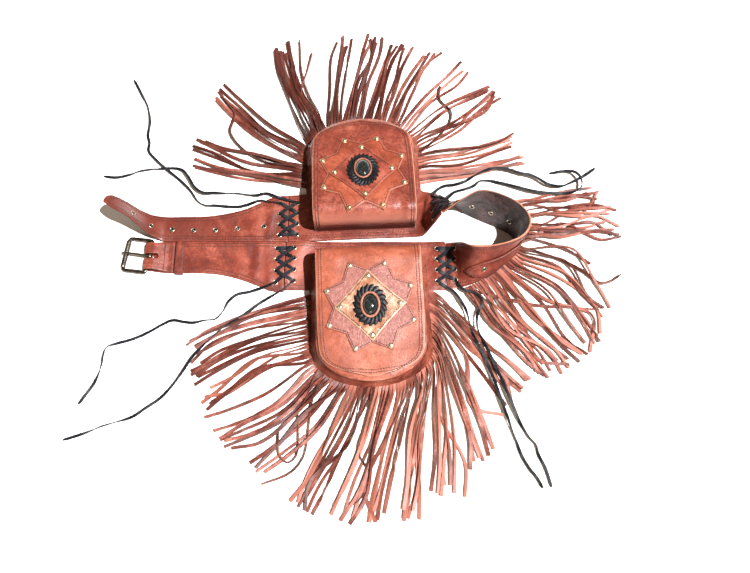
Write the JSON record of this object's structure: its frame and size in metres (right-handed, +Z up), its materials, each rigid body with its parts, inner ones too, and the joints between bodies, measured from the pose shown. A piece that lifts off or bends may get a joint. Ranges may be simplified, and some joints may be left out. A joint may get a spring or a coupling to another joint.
{
  "type": "belt bag",
  "caption": "Leather hip belt with fringed flap pouches, laced panels, star and stone badges and a roller buckle, lying open on a surface.",
  "frame": {"origin": "middle of the bottom of the belt and fringes (laces left out), on the surface it lies on", "axes": "+Z up from the surface; +X from the buckle end to the hip bend; +Y from the buckle half to the tongue half"},
  "size_m": [0.66, 0.6352, 0.0622],
  "materials": {
    "belt_leather": "waxed, semi-gloss",
    "pouch_leather": "waxed, semi-gloss",
    "star_leather": "grainy, matt",
    "tan_leather": "glossy",
    "black_leather": "semi-gloss",
    "lace_leather": "semi-gloss",
    "fringe_leather": "suede-backed",
    "stone": "polished",
    "nickel": "polished",
    "bronze": "antique, satin"
  },
  "bodies": {
    "belt": {"buckle_panel": "belt_leather", "lower_back_panel": "belt_leather", "hip_panel": "belt_leather", "hip_strap": "belt_leather", "upper_back_panel": "belt_leather", "tongue_panel": "belt_leather", "keeper": "belt_leather", "lower_gusset": "pouch_leather", "lower_front": "pouch_leather", "lower_flap": "pouch_leather", "lower_star": "star_leather", "lower_diamond": "tan_leather", "lower_rosette": "black_leather", "lower_bezel": "tan_leather", "lower_stone": "stone", "lower_star_rivet_1": "nickel", "lower_star_rivet_2": "nickel", "lower_star_rivet_3": "nickel", "lower_star_rivet_4": "nickel", "lower_star_rivet_5": "nickel", "lower_star_rivet_6": "nickel", "lower_star_rivet_7": "nickel", "lower_star_rivet_8": "nickel", "lower_diamond_rivet_1": "nickel", "lower_diamond_rivet_2": "nickel", "lower_diamond_rivet_3": "nickel", "lower_diamond_rivet_4": "nickel", "upper_gusset": "pouch_leather", "upper_front": "pouch_leather", "upper_flap": "pouch_leather", "upper_star": "star_leather", "upper_diamond": "tan_leather", "upper_rosette": "black_leather", "upper_bezel": "tan_leather", "upper_stone": "stone", "upper_star_rivet_1": "nickel", "upper_star_rivet_2": "nickel", "upper_star_rivet_3": "nickel", "upper_star_rivet_4": "nickel", "upper_star_rivet_5": "nickel", "upper_star_rivet_6": "nickel", "upper_star_rivet_7": "nickel", "upper_star_rivet_8": "nickel", "upper_diamond_rivet_1": "nickel", "upper_diamond_rivet_2": "nickel", "upper_diamond_rivet_3": "nickel", "upper_diamond_rivet_4": "nickel", "lower_fringe": "fringe_leather", "upper_fringe": "fringe_leather", "hip_fringe": "fringe_leather", "lace_lower_left": "lace_leather", "lace_lower_right": "lace_leather", "lace_upper_right": "lace_leather", "lace_upper_left": "lace_leather"},
    "frame": {"buckle_frame": "bronze"},
    "prong": {"buckle_prong": "bronze"},
    "roller": {"buckle_roller": "bronze"}
  },
  "joints": [
    {"name": "buckle_swing", "type": "hinge", "parent": "belt", "child": "frame", "pos_m": [-0.265, -0.0042, 0.0052], "axis": [0.1392, 0.9903, 0], "range_deg": [0, 75]},
    {"name": "prong_swing", "type": "hinge", "parent": "frame", "child": "prong", "pos_m": [-0.265, -0.0042, 0.0052], "axis": [0.1392, 0.9903, 0], "range_deg": [0, 60]},
    {"name": "roller_spin", "type": "hinge", "parent": "frame", "child": "roller", "pos_m": [-0.29466, -0.00003, 0.00342], "axis": [0.1392, 0.9903, 0], "continuous": true}
  ]
}
